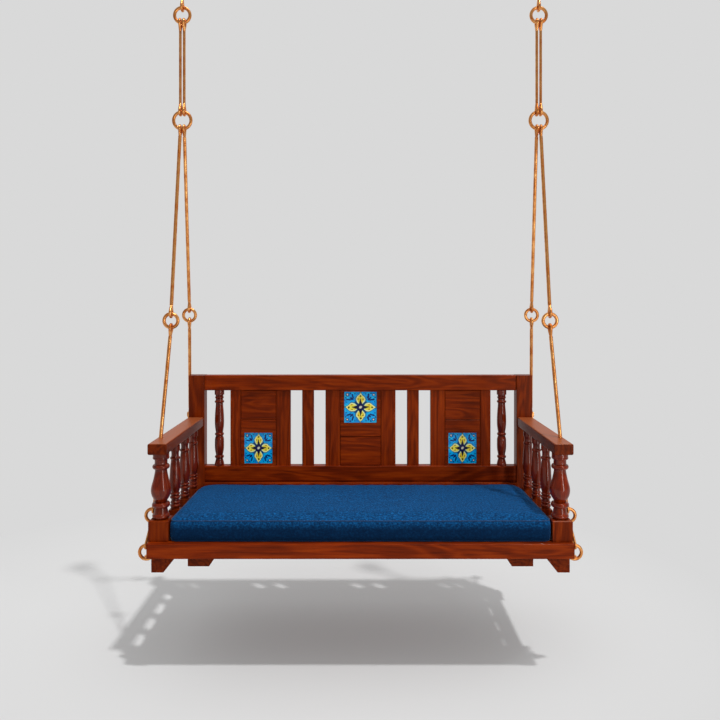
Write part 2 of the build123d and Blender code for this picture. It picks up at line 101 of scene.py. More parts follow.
class Shader:
    """Builds nodes in a material or a node group, a short call for each. An input is a number or a socket."""

    def __init__(self, tree):
        self.tree = tree

    def add(self, kind, **settings):
        """A new node with some of its settings."""
        node = self.tree.nodes.new(kind)
        for key, value in settings.items():
            setattr(node, key, value)
        return node

    def link(self, source, target):
        """Links a socket to an input, or sets the input to a value."""
        if isinstance(source, bpy.types.NodeSocket):
            self.tree.links.new(source, target)
        else:
            target.default_value = source

    def math(self, operation, a, b=0.0, c=0.0, clamp=False):
        """One step of arithmetic."""
        node = self.add("ShaderNodeMath", operation=operation, use_clamp=clamp)
        for value, socket in zip((a, b, c), node.inputs):
            self.link(value, socket)
        return node.outputs[0]

    def blend(self, factor, a, b):
        """Colour a where the factor is 0 and colour b where it is 1."""
        node = self.add("ShaderNodeMix", data_type="RGBA")
        self.link(factor, node.inputs[MIX_FACTOR])
        self.link(a, node.inputs[MIX_A])
        self.link(b, node.inputs[MIX_B])
        return node.outputs[MIX_RESULT]

    def ramp(self, factor, *stops):
        """A colour ramp through pairs of place and colour."""
        node = self.add("ShaderNodeValToRGB")
        elements = node.color_ramp.elements
        while len(elements) < len(stops):
            elements.new(0.5)
        for element, (place, colour) in zip(elements, stops):
            element.position = place
            element.color = colour
        self.link(factor, node.inputs[0])
        return node.outputs[0]

    def span(self, value, low, high, to_low=0.0, to_high=1.0):
        """Maps low to high onto to_low to to_high, and holds the ends."""
        node = self.add("ShaderNodeMapRange")
        for number, item in enumerate((value, low, high, to_low, to_high)):
            self.link(item, node.inputs[number])
        return node.outputs[0]

    def noise(self, vector, scale, detail=3.0, roughness=0.55, distortion=0.0):
        """The value of a noise pattern."""
        node = self.add("ShaderNodeTexNoise")
        self.link(vector, node.inputs["Vector"])
        settings = {"Scale": scale, "Detail": detail, "Roughness": roughness, "Distortion": distortion}
        for key, value in settings.items():
            self.link(value, node.inputs[key])
        return node.outputs[0]

    def mapped(self, vector, scale=(1, 1, 1), offset=(0, 0, 0), turn=(0, 0, 0)):
        """The vector scaled, turned and moved."""
        node = self.add("ShaderNodeMapping")
        self.link(vector, node.inputs["Vector"])
        node.inputs["Location"].default_value = offset
        node.inputs["Rotation"].default_value = turn
        node.inputs["Scale"].default_value = scale
        return node.outputs[0]

    def split(self, vector):
        """The three parts of a vector."""
        node = self.add("ShaderNodeSeparateXYZ")
        self.link(vector, node.inputs[0])
        return node.outputs

    def length(self, a, b):
        """The length of a flat vector with the parts a and b."""
        return self.math("SQRT", self.math("ADD", self.math("MULTIPLY", a, a), self.math("MULTIPLY", b, b)))

    def bump(self, height, distance, strength=1.0):
        """A normal bent by a height pattern."""
        node = self.add("ShaderNodeBump")
        node.inputs["Distance"].default_value = distance
        node.inputs["Strength"].default_value = strength
        self.link(height, node.inputs["Height"])
        return node.outputs[0]

    def use(self, group, **inputs):
        """A placed node group and its outputs."""
        node = self.add("ShaderNodeGroup", node_tree=group)
        for key, value in inputs.items():
            self.link(value, node.inputs[key])
        return node.outputs

    def seen_directly(self):
        """Light Path's outputs, and 1 for the rays that look at a surface straight or through glass."""
        rays = self.add("ShaderNodeLightPath").outputs
        return rays, self.math("MAXIMUM", rays["Is Camera Ray"], rays["Is Transmission Ray"])


def rgb(red, green, blue):
    """A linear colour from sRGB numbers of 0 to 255."""

    def linear(level):
        share = level / 255
        return share / 12.92 if share <= 0.04045 else ((share + 0.055) / 1.055) ** 2.4

    return (linear(red), linear(green), linear(blue), 1.0)


def new_group(name, inputs, outputs):
    """A shader node group with named sockets, and the tools to fill it."""
    group = bpy.data.node_groups.new(name, "ShaderNodeTree")
    for label, kind in inputs:
        group.interface.new_socket(label, in_out="INPUT", socket_type=kind)
    for label, kind in outputs:
        group.interface.new_socket(label, in_out="OUTPUT", socket_type=kind)
    start = group.nodes.new("NodeGroupInput")
    end = group.nodes.new("NodeGroupOutput")
    return group, Shader(group), start.outputs, end.inputs


def new_material(name, roughness=0.5, **settings):
    """A material with one Principled shader, and the tools to fill it."""
    material = bpy.data.materials.new(name)
    material.use_nodes = True
    tools = Shader(material.node_tree)
    shader = material.node_tree.nodes["Principled BSDF"].inputs
    shader["Roughness"].default_value = roughness
    for key, value in settings.items():
        shader[key.replace("_", " ")].default_value = value
    place = tools.add("ShaderNodeTexCoord").outputs["Object"]
    return material, tools, shader, place


# ---------------------------------------------------------------- shared effects

FLOAT = "NodeSocketFloat"
VECTOR = "NodeSocketVector"

# Each layer of the grain is noise that is squeezed by these factors along and across the length.
GROWTH_BANDS = (0.9, 6.5, 6.5)
STREAKS = (2.6, 60.0, 60.0)
FINE_STREAKS = (6.0, 210.0, 210.0)
PORES = (26.0, 640.0, 640.0)
BANDS_PER_NOISE = 60.0
BAND_WEIGHT = 0.2
STREAK_WEIGHT = 0.56
FINE_WEIGHT = 0.3
PORE_RANGE = (0.58, 0.76)
PATINA_RANGE = (0.38, 0.66)


def make_grain_group():
    """Flowing grain: wide growth bands bent by slow noise, fine streaks and short pores along the local X."""
    group, tools, given, out = new_group(
        "long_grain", [("Vector", VECTOR)], [("Figure", FLOAT), ("Pores", FLOAT), ("Cloud", FLOAT)]
    )
    place = given["Vector"]
    warp = tools.noise(tools.mapped(place, GROWTH_BANDS), scale=1.5, detail=3.0, roughness=0.5, distortion=0.5)
    bands = tools.math("SINE", tools.math("MULTIPLY", warp, BANDS_PER_NOISE))
    bands = tools.math("MULTIPLY_ADD", bands, 0.5, 0.5)
    streaks = tools.noise(tools.mapped(place, STREAKS), scale=1.5, detail=5.0, roughness=0.62, distortion=0.25)
    fine = tools.noise(tools.mapped(place, FINE_STREAKS), scale=1.0, detail=3.0, roughness=0.6)
    figure = tools.math("MULTIPLY_ADD", bands, BAND_WEIGHT, tools.math("MULTIPLY", streaks, STREAK_WEIGHT))
    figure = tools.math("MULTIPLY_ADD", fine, FINE_WEIGHT, figure)
    pores = tools.noise(tools.mapped(place, PORES), scale=1.0, detail=2.0, roughness=0.5)
    tools.link(figure, out["Figure"])
    tools.link(tools.span(pores, *PORE_RANGE), out["Pores"])
    tools.link(tools.noise(place, scale=3.1, detail=2.0, roughness=0.5), out["Cloud"])
    return group


def make_hammer_group():
    """Soft uneven forging marks and dark patina spots on hand-made metal."""
    group, tools, given, out = new_group(
        "forged_metal", [("Vector", VECTOR)], [("Marks", FLOAT), ("Patina", FLOAT)]
    )
    place = given["Vector"]
    patina = tools.noise(place, scale=34.0, detail=5.0, roughness=0.62, distortion=0.4)
    tools.link(tools.noise(place, scale=95.0, detail=3.0, roughness=0.55), out["Marks"])
    tools.link(tools.span(patina, *PATINA_RANGE), out["Patina"])
    return group


grain_group = make_grain_group()
hammer_group = make_hammer_group()

# ---------------------------------------------------------------- wood

WOOD_DARK = rgb(82, 20, 2)
WOOD_MID = rgb(124, 38, 2)
WOOD_LIGHT = rgb(156, 58, 4)
WOOD_PORE = rgb(54, 13, 2)
# Colour of the paler armrest tops: partly wear, partly a painted reflection of the bright sky.
WOOD_WORN_AND_SHEEN = rgb(168, 92, 52)
WARM_GLEAM = (1.0, 0.62, 0.42, 1.0)
CLOUD_DIM = 0.86
CLOUD_BRIGHT = 1.12
PORE_STRENGTH = 0.5
WEAR_AND_SHEEN_STRENGTH = 0.62
FIGURE_RELIEF = 0.3
WEAR_AND_SHEEN_DEPTH = 1.5 * MM
LACQUER_EDGE = 3 * MM
THIN_COAT = 0.02
FIGURE_ROUGHNESS = 0.12
GRAIN_DEPTH = 0.1 * MM
GRAIN_TURN = {"x": (0, 0, 0), "y": (0, 0, math.pi / 2), "z": (0, math.pi / 2, 0)}


def make_wood(
    name,
    length_axis,
    offset,
    brightness=1.0,
    rough=0.34,
    gloss=0.14,
    coat=0.03,
    relief=0.4,
    lacquer_above=None,
    paler_top_above=None,
):
    """Polished red-brown rosewood with its grain along one axis of the object.

    Above one height it is lacquered, and above another it is paler: partly wear, partly a painted sky
    reflection.
    """
    material, tools, shader, place = new_material(
        name,
        Specular_IOR_Level=gloss,
        Specular_Tint=WARM_GLEAM,
        Coat_Weight=coat,
        Coat_Roughness=0.09,
        Coat_Tint=WARM_GLEAM,
    )
    along_grain = tools.mapped(place, offset=offset, turn=GRAIN_TURN[length_axis])
    grain = tools.use(grain_group, Vector=along_grain)
    shade = tools.add("ShaderNodeHueSaturation")
    cloud = tools.span(grain["Cloud"], 0.3, 0.7, CLOUD_DIM * brightness, CLOUD_BRIGHT * brightness)
    tools.link(cloud, shade.inputs["Value"])
    figure = tools.ramp(grain["Figure"], (0.3, WOOD_DARK), (0.54, WOOD_MID), (0.8, WOOD_LIGHT))
    tools.link(figure, shade.inputs["Color"])
    colour = tools.blend(tools.math("MULTIPLY", grain["Pores"], PORE_STRENGTH), shade.outputs[0], WOOD_PORE)
    height = tools.split(place)[2]
    # Painted paler top above the given height: partly wear, partly a painted sky reflection.
    if paler_top_above is not None:
        wear_and_sheen = tools.span(height, paler_top_above - WEAR_AND_SHEEN_DEPTH, paler_top_above, 0.0, WEAR_AND_SHEEN_STRENGTH)
        colour = tools.blend(wear_and_sheen, colour, WOOD_WORN_AND_SHEEN)
    tools.link(colour, shader["Base Color"])
    tools.link(tools.math("MULTIPLY_ADD", grain["Figure"], FIGURE_ROUGHNESS, rough), shader["Roughness"])
    if lacquer_above is not None:
        lacquer = tools.span(height, lacquer_above - LACQUER_EDGE, lacquer_above, THIN_COAT, coat)
        tools.link(lacquer, shader["Coat Weight"])
    raised = tools.math("SUBTRACT", tools.math("MULTIPLY", grain["Figure"], FIGURE_RELIEF), grain["Pores"])
    tools.link(tools.bump(raised, GRAIN_DEPTH, relief), shader["Normal"])
    return material


# Each kind starts at its own place in the grain, so that no two kinds of pieces repeat each other.
wood = {
    "beam_x": make_wood("wood_beam_x", "x", (0.3, 0.1, 0.7), brightness=0.97),
    # The armrest tops are painted paler here: partly wear, partly a painted sky reflection.
    "rail_y": make_wood(
        "wood_rail_y", "y", (1.3, 0.4, 0.2), brightness=0.58, gloss=0.16, paler_top_above=ARM_TOP - 0.5 * MM
    ),
    "post_z": make_wood("wood_post_z", "z", (0.2, 1.7, 0.9), brightness=0.76),
    "stile_z": make_wood("wood_stile_z", "z", (2.1, 0.3, 0.5), brightness=1.04),
    "panel_x": make_wood("wood_panel_x", "x", (1.9, 2.2, 0.35), brightness=0.98),
    "rear_x": make_wood("wood_rear_x", "x", (3.1, 0.9, 1.35)),
    "turned_z": make_wood(
        "wood_turned_z",
        "z",
        (0.9, 2.4, 1.8),
        brightness=0.68,
        rough=0.28,
        gloss=0.12,
        coat=0.6,
        relief=0.12,
        lacquer_above=BLOCK_TOP,
    ),
    "under_y": make_wood("wood_under_y", "y", (2.6, 1.2, 0.4), brightness=0.69, rough=0.42),
}

# ---------------------------------------------------------------- metal and cloth

BRASS_BRIGHT = rgb(246, 176, 106)
BRASS_BROWN = rgb(204, 116, 50)


def make_brass():
    """Aged golden brass: warm, slightly hammered, browner in its hollows."""
    material, tools, shader, place = new_material("aged_brass", Metallic=1.0)
    forged = tools.use(hammer_group, Vector=place)
    tools.link(tools.blend(forged["Patina"], BRASS_BRIGHT, BRASS_BROWN), shader["Base Color"])
    tools.link(tools.span(forged["Patina"], 0.0, 1.0, 0.3, 0.48), shader["Roughness"])
    tools.link(tools.bump(forged["Marks"], 0.8 * MM, 0.45), shader["Normal"])
    return material


CLOTH_DEEP = rgb(1, 40, 76)
CLOTH_MID = rgb(3, 56, 102)
CLOTH_BRIGHT = rgb(10, 76, 132)
CLOTH_BLOTCH = rgb(0, 30, 62)
CLOTH_FLECK = rgb(16, 98, 160)
CLOTH_SHADE = rgb(0, 22, 50)
CLOTH_TIP = rgb(14, 84, 142)
# Painted shade towards the rear of the cushion, under the back of the seat.
CLOTH_REAR_SHADE = rgb(1, 38, 74)
# Painted shade low down on the cushion's walls, which light from above reaches less.
CLOTH_WALL_SHADE = rgb(0, 24, 52)
CLOTH_SHEEN = rgb(84, 150, 224)
PIPING_DARK = rgb(2, 38, 78)
PIPING_LIGHT = rgb(10, 62, 112)
THREAD_PITCH = 3.2 * MM
# Where the painted shade towards the rear starts and where it is full.
REAR_SHADE_FROM = -80 * MM
REAR_SHADE_TO = 200 * MM
# How far below the seam the painted shade on the walls begins.
WALL_SHADE_FROM = 30 * MM
PUCKER_HEIGHT = 6 * MM


def make_velvet():
    """Short-pile woven upholstery with a fine cross weave, a cloudy brushed nap and a soft sheen.

    It puckers in small folds at the seam. It is darker towards the rear, painted shade under the back of the
    seat, and darker low down on the walls, painted shade where light from above reaches them less.
    """
    material, tools, shader, place = new_material(
        "blue_velvet",
        0.8,
        Sheen_Weight=0.4,
        Sheen_Roughness=0.38,
        Sheen_Tint=CLOTH_SHEEN,
        Specular_IOR_Level=0.06,
    )
    across_x, across_y, height = tools.split(place)[:3]
    thread = 2 * math.pi / THREAD_PITCH
    weave_x = tools.math("SINE", tools.math("MULTIPLY", tools.math("ADD", across_x, height), thread))
    weave_y = tools.math("SINE", tools.math("MULTIPLY", tools.math("SUBTRACT", across_y, height), thread))
    weave = tools.math("MULTIPLY", weave_x, weave_y)
    brushed = tools.mapped(place, (1.0, 1.8, 1.8))
    nap = tools.noise(brushed, scale=11.0, detail=6.0, roughness=0.66, distortion=0.6)
    pile = tools.noise(place, scale=330.0, detail=4.0, roughness=0.7)
    blotch = tools.noise(tools.mapped(place, (1.0, 1.0, 2.5)), scale=64.0, detail=3.0, roughness=0.65)
    fleck = tools.noise(place, scale=150.0, detail=3.0, roughness=0.6)
    shade = tools.noise(tools.mapped(place, (1.0, 1.4, 1.4)), scale=118.0, detail=3.0, roughness=0.6)
    colour = tools.ramp(nap, (0.32, CLOTH_DEEP), (0.52, CLOTH_MID), (0.72, CLOTH_BRIGHT))
    layers = (
        (tools.span(blotch, 0.38, 0.64, 0.0, 0.8), CLOTH_BLOTCH),
        (tools.span(fleck, 0.44, 0.62, 0.0, 0.75), CLOTH_FLECK),
        (tools.span(shade, 0.46, 0.62, 0.0, 0.75), CLOTH_SHADE),
        (tools.span(pile, 0.4, 0.75, 0.0, 0.5), CLOTH_TIP),
        # Painted shade: darker towards the rear, under the back of the seat.
        (tools.span(across_y, REAR_SHADE_FROM, REAR_SHADE_TO, 0.0, 0.5), CLOTH_REAR_SHADE),
        # Painted shade: the walls darker low down, where light from above reaches them less.
        (tools.span(height, SEAM_HEIGHT - WALL_SHADE_FROM, SEAM_HEIGHT + 2 * MM, 0.85, 0.0), CLOTH_WALL_SHADE),
    )
    for mask, dye in layers:
        colour = tools.blend(mask, colour, dye)
    tools.link(colour, shader["Base Color"])
    from_seam = tools.math("ABSOLUTE", tools.math("SUBTRACT", height, SEAM_HEIGHT + PUCKER_HEIGHT))
    seam = tools.span(from_seam, 3 * MM, 12 * MM, 1.0, 0.0)
    pucker = tools.noise(tools.mapped(place, (95.0, 95.0, 12.0)), scale=1.0, detail=2.0, roughness=0.5)
    relief = tools.math("MULTIPLY_ADD", weave, 0.25, pile)
    relief = tools.math("MULTIPLY_ADD", blotch, 0.8, relief)
    relief = tools.math("ADD", relief, tools.math("MULTIPLY", tools.math("MULTIPLY", pucker, seam), 3.5))
    tools.link(tools.bump(relief, 0.9 * MM, 0.7), shader["Normal"])
    return material


def make_piping():
    """The same cloth cut on the bias, for the welts."""
    material, tools, shader, place = new_material("blue_piping", 0.8, Sheen_Weight=0.2, Sheen_Roughness=0.5)
    pile = tools.noise(place, scale=480.0, detail=3.0, roughness=0.6)
    tools.link(tools.blend(pile, PIPING_DARK, PIPING_LIGHT), shader["Base Color"])
    tools.link(tools.bump(pile, 0.5 * MM, 0.6), shader["Normal"])
    return material


# ---------------------------------------------------------------- tile materials

# The motif is measured from the tile's middle, where 1 is the edge of what its frame leaves open.
PETAL_BASE = 0.22
PETAL_SHOULDER = 0.54
PETAL_TIP = 0.91
PETAL_WIDTH = 0.28
PETAL_DRAW_IN = 0.15
BRUSH_WOBBLE = 0.12


def make_tile_glaze():
    """Hand-painted glaze: four petals on a turquoise ground, worked out from the tile's own map, -1 to 1.

    The motif is drawn once, for one eighth of the tile, and folded out by the larger and the smaller of the two
    distances from the middle. Slow noise bends the map first, so the brush never runs quite true.
    """
    material, tools, shader, _ = new_material(
        "painted_glaze", 0.12, Specular_IOR_Level=0.2, Coat_Weight=0.12, Coat_Roughness=0.05
    )
    uv = tools.add("ShaderNodeUVMap", uv_map="map").outputs[0]
    brush = tools.add("ShaderNodeTexNoise")
    brush.inputs["Scale"].default_value = 3.6
    brush.inputs["Detail"].default_value = 1.5
    tools.link(uv, brush.inputs["Vector"])
    wobble = tools.add("ShaderNodeVectorMath", operation="MULTIPLY_ADD")
    tools.link(brush.outputs["Color"], wobble.inputs[0])
    wobble.inputs[1].default_value = (BRUSH_WOBBLE, BRUSH_WOBBLE, 0.0)
    tools.link(uv, wobble.inputs[2])
    u, v = tools.split(wobble.outputs[0])[:2]
    u = tools.math("SUBTRACT", u, BRUSH_WOBBLE / 2)
    v = tools.math("SUBTRACT", v, BRUSH_WOBBLE / 2)
    size_u = tools.math("ABSOLUTE", u)
    size_v = tools.math("ABSOLUTE", v)
    along = tools.math("MAXIMUM", size_u, size_v)
    aside = tools.math("MINIMUM", size_u, size_v)
    from_middle = tools.length(u, v)

    def below(value, limit, soft=0.03):
        """1 where value is under limit, with a painted edge."""
        return tools.math("DIVIDE", tools.math("SUBTRACT", limit, value), soft, clamp=True)

    def spot(x, y, radius):
        """A dab at a place along and beside the arm."""
        return below(tools.length(tools.math("SUBTRACT", along, x), tools.math("SUBTRACT", aside, y)), radius)

    def stroke(start, end, radius):
        """A brush stroke: the distance to the line from start to end, along and beside the arm."""
        run_x, run_y = end[0] - start[0], end[1] - start[1]
        from_x = tools.math("SUBTRACT", along, start[0])
        from_y = tools.math("SUBTRACT", aside, start[1])
        reach = tools.math("ADD", tools.math("MULTIPLY", from_x, run_x), tools.math("MULTIPLY", from_y, run_y))
        share = tools.math("DIVIDE", reach, run_x**2 + run_y**2, clamp=True)
        off_x = tools.math("SUBTRACT", from_x, tools.math("MULTIPLY", share, run_x))
        off_y = tools.math("SUBTRACT", from_y, tools.math("MULTIPLY", share, run_y))
        return below(tools.length(off_x, off_y), radius)

    # A petal is widest at its shoulder, runs out to a point and draws in towards the middle.
    tip_run = PETAL_TIP - PETAL_SHOULDER
    base_run = PETAL_SHOULDER - PETAL_BASE
    outward = tools.math("DIVIDE", tools.math("SUBTRACT", along, PETAL_SHOULDER), tip_run, clamp=True)
    inward = tools.math("DIVIDE", tools.math("SUBTRACT", PETAL_SHOULDER, along), base_run, clamp=True)
    lobe = tools.math("MULTIPLY_ADD", tools.math("POWER", outward, 1.3), -PETAL_WIDTH, PETAL_WIDTH)
    lobe = tools.math("MULTIPLY_ADD", tools.math("POWER", inward, 2.0), -PETAL_DRAW_IN, lobe)
    outside = tools.math(
        "MAXIMUM", tools.math("SUBTRACT", aside, lobe), tools.math("SUBTRACT", PETAL_BASE, along)
    )
    rim = below(outside, 0.02)
    arm = below(aside, tools.math("MULTIPLY_ADD", along, -0.3, 0.2), 0.04)
    arm = tools.math("MULTIPLY", arm, below(along, 0.58, 0.05))
    hub = below(from_middle, 0.25, 0.05)

    mottled = tools.noise(uv, scale=2.6, detail=4.0, roughness=0.65)
    streaked = tools.noise(uv, scale=4.4, detail=3.0, roughness=0.6)
    yellow = tools.ramp(streaked, (0.35, rgb(246, 204, 22)), (0.6, rgb(255, 250, 92)))
    navy = tools.blend(mottled, rgb(2, 10, 70), rgb(8, 40, 128))
    colour = tools.ramp(mottled, (0.3, rgb(0, 122, 214)), (0.5, rgb(4, 174, 250)), (0.7, rgb(30, 216, 255)))
    layers = (
        # The ground deepens round the middle, and scrolls fill it beside the petals.
        (tools.math("MULTIPLY", below(from_middle, 0.6, 0.3), 0.45), rgb(16, 62, 168)),
        (stroke((0.52, 0.5), (0.6, 0.62), 0.07), navy),
        (stroke((0.62, 0.46), (0.82, 0.5), 0.065), navy),
        (spot(0.87, 0.34, 0.05), navy),
        (spot(0.9, 0.62, 0.06), navy),
        (stroke((0.16, 0.16), (0.36, 0.32), 0.04), navy),
        # The petals: a dark halo, a pale rim, yellow within and two brown dabs.
        (below(outside, 0.07, 0.05), rgb(0, 84, 92)),
        (rim, rgb(240, 252, 186)),
        (below(outside, -0.05), yellow),
        (spot(0.71, 0.0, 0.075), rgb(40, 24, 6)),
        (spot(0.52, 0.15, 0.055), rgb(168, 92, 8)),
        # The dark arms and hub over the petals, and a dotted rosette in each corner.
        (arm, rgb(6, 8, 40)),
        (hub, rgb(2, 8, 78)),
        (below(from_middle, 0.1), rgb(222, 220, 190)),
        (spot(0.81, 0.8, 0.12), rgb(6, 60, 130)),
        (spot(0.81, 0.8, 0.065), rgb(236, 234, 214)),
    )
    for mask, paint in layers:
        colour = tools.blend(mask, colour, paint)
    tools.link(colour, shader["Base Color"])
    tools.link(tools.math("MULTIPLY_ADD", mottled, 0.12, 0.06), shader["Roughness"])
    relief = tools.math("MULTIPLY_ADD", mottled, 0.4, tools.math("MAXIMUM", rim, hub))
    tools.link(tools.bump(relief, 0.5 * MM, 0.5), shader["Normal"])
    return material


def make_biscuit():
    """Unglazed pale clay, for the back and edges of a tile."""
    material, tools, shader, place = new_material("tile_biscuit", 0.85, Specular_IOR_Level=0.2)
    crumb = tools.noise(place, scale=420.0, detail=5.0, roughness=0.7)
    tools.link(tools.blend(crumb, rgb(168, 138, 112), rgb(206, 182, 156)), shader["Base Color"])
    tools.link(tools.bump(crumb, 0.4 * MM, 0.5), shader["Normal"])
    return material


brass = make_brass()
velvet = make_velvet()
piping_cloth = make_piping()
tile_glaze = make_tile_glaze()
tile_biscuit = make_biscuit()

# ---------------------------------------------------------------- finishes of the CAD nodes

NODE_FINISH = {
    "beam_x": ("front_beam", "back_beam", "slat_cleats"),
    "rail_y": ("side_rail_left", "side_rail_right", "armrest_left", "armrest_right", "bearers"),
    "post_z": ("back_post_left", "back_post_right"),
    "stile_z": ("stiles", "flat_slats"),
    "panel_x": ("panels", "cross_rails", "tile_frames"),
    "rear_x": ("top_rail", "bottom_rail"),
    "turned_z": (
        "front_post_left",
        "front_post_right",
        "balusters_left",
        "balusters_right",
        "back_spindle_left",
        "back_spindle_right",
    ),
    "under_y": ("deck_slats", "feet"),
}
# New pieces stand in for these nodes. All the others that aren't wood are brass.
REPLACED_NODES = ("cushion", "tile_left", "tile_right", "tile_centre")

node_wood = {member: wood[finish] for finish, members in NODE_FINISH.items() for member in members}
for name in nodes:
    if name not in REPLACED_NODES:
        nodes[name].data.materials.clear()
        nodes[name].data.materials.append(node_wood.get(name, brass))

# ---------------------------------------------------------------- tiles

TILE_POINTS = 41
GLAZE_SWELL = 0.9 * MM
GLAZE_RIPPLE = 0.12 * MM
GLAZE_SET_BACK = 0.15 * MM
# Half the width and half the height of what the frame leaves open, which the motif fills.
SIDE_WINDOW = (62.75 * MM, 68.5 * MM)
CENTRE_WINDOW = (72.5 * MM, 69 * MM)


def glazed_tile(name, window_half_width, window_half_height):
    """A tile whose glaze swells to a soft pillow.

    Its height falls as the sixth power of the larger of the two distances from the middle.
    """
    low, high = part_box(name)
    side = np.linspace(-1, 1, TILE_POINTS)
    u, v = np.meshgrid(side, side, indexing="ij")
    middle_x = (low.x + high.x) / 2
    middle_z = (low.z + high.z) / 2
    half_x = (high.x - low.x) / 2
    half_z = (high.z - low.z) / 2
    fall = np.maximum(np.abs(u), np.abs(v)) ** 6
    ripple = GLAZE_RIPPLE * np.sin(3.1 * u + 1.3) * np.cos(2.6 * v)
    depth = low.y + GLAZE_SWELL * fall + ripple + GLAZE_SET_BACK
    front = np.stack([middle_x + half_x * u, depth, middle_z + half_z * v], -1)
    back = front.copy()
    back[..., 1] = high.y
    front_count = TILE_POINTS**2
    glazed = grid_faces(TILE_POINTS, TILE_POINTS)[:, ::-1]
    rear = grid_faces(TILE_POINTS, TILE_POINTS, start=front_count)
    rim = grid_rim(TILE_POINTS, TILE_POINTS)
    following = np.roll(rim, -1)
    edge = np.stack([rim, rim + front_count, following + front_count, following], -1)
    points = np.concatenate([front.reshape(-1, 3), back.reshape(-1, 3)])
    made = mesh_object(f"{name}_glazed", points, np.concatenate([glazed, rear, edge]))
    scale = np.array([half_x / window_half_width, half_z / window_half_height])
    flat = np.stack([u.ravel(), v.ravel()], -1) * scale
    save_uv(made, np.concatenate([flat, flat]))
    made.data.materials.append(tile_glaze)
    made.data.materials.append(tile_biscuit)
    unglazed = np.arange(len(made.data.polygons)) >= len(glazed)
    made.data.polygons.foreach_set("material_index", unglazed.astype(np.int32))
    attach(made, "seat")
    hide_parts(name)


glazed_tile("tile_left", *SIDE_WINDOW)
glazed_tile("tile_right", *SIDE_WINDOW)
glazed_tile("tile_centre", *CENTRE_WINDOW)

# ---------------------------------------------------------------- cushion

CROWN = 9 * MM
REAR_DROP = 30 * MM
REAR_ROLL = 180 * MM
REAR_NARROWING = 6 * MM
FRONT_STEP = 3 * MM
WALL_BULGE = 3 * MM
FRONT_BULGE = 6 * MM
PULL_IN = 4 * MM
CORNER = 24 * MM
CORNER_CUT = 0.29  # About 1 less half the root of 2: what a round corner takes off a square one.
MIDDLE_DIP = 2.5 * MM
DIP_TAPER = (2.2, 1.6)
CREASE_HEIGHT = 1.6 * MM
CREASE_WAVES = (9, 150)  # In radians per metre across and into the seat.
CREASE_FADE = 90 * MM
BASE_LIFT = 0.5 * MM
CELL = 11 * MM
WALL_RINGS = 8
CLOTH_STEPS = 20
CLOTH_PRESSURE = 4.0
CLOTH_STIFFNESS = 15
CLOTH_BENDING = 1.5
CLOTH_SHRINK = -0.012
CLOTH_CAP = 6 * MM
SIDE_ROOM = 2.5 * MM
FRONT_ROOM = 12 * MM
REAR_ROOM = 2 * MM
WELT_RADIUS = 1.3 * MM
WELT_SIDES = 12
WELT_BASE_LIFT = 3 * MM


def cushion_plan(u, v):
    """The plan of the seam: a rounded rectangle whose sides pull in by a cosine and that narrows rearwards."""
    half_x = (CUSHION_HIGH.x - CUSHION_LOW.x) / 2
    half_y = (CUSHION_HIGH.y - CUSHION_LOW.y) / 2
    middle_y = (CUSHION_HIGH.y + CUSHION_LOW.y) / 2
    in_x = PULL_IN * np.cos(v * math.pi / 2) * np.abs(u) ** 6
    in_x = in_x + REAR_NARROWING * np.abs(u) ** 4 * ((v + 1) / 2) ** 2
    in_y = PULL_IN * np.abs(v) ** 4 * (1 - u**8) * (v > 0)
    near_x = np.clip((np.abs(u) * half_x - (half_x - CORNER)) / CORNER, 0, 1)
    near_y = np.clip((np.abs(v) * half_y - (half_y - CORNER)) / CORNER, 0, 1)
    rounding = near_x * near_y * CORNER * CORNER_CUT
    x = u * half_x - np.sign(u) * (in_x + rounding)
    y = middle_y + v * half_y - np.sign(v) * (in_y + rounding) - FRONT_STEP * np.clip(-v, 0, 1) ** 8
    return x, y


def cushion_top(x, y, u, v):
    """Height of the top: a crown that grows as the power 0.6 of the distance in, and rolls down at the rear.

    A soft dip lies in the middle, and sine creases fade in from the right end.
    """
    inward = np.clip(np.minimum(1 - np.abs(u) ** 36, 1 - np.abs(v) ** 7), 0, 1) ** 0.6
    roll = np.clip((y - (CUSHION_HIGH.y - REAR_ROLL)) / REAR_ROLL, 0, 1) ** 1.6
    dip = MIDDLE_DIP * np.exp(-((u * DIP_TAPER[0]) ** 2) - (v * DIP_TAPER[1]) ** 2)
    wave = np.sin(CREASE_WAVES[1] * y + CREASE_WAVES[0] * x)
    crease = CREASE_HEIGHT * wave * np.exp((x - CUSHION_HIGH.x) / CREASE_FADE) * inward
    return SEAM_HEIGHT + CROWN * inward - REAR_DROP * roll - dip + crease


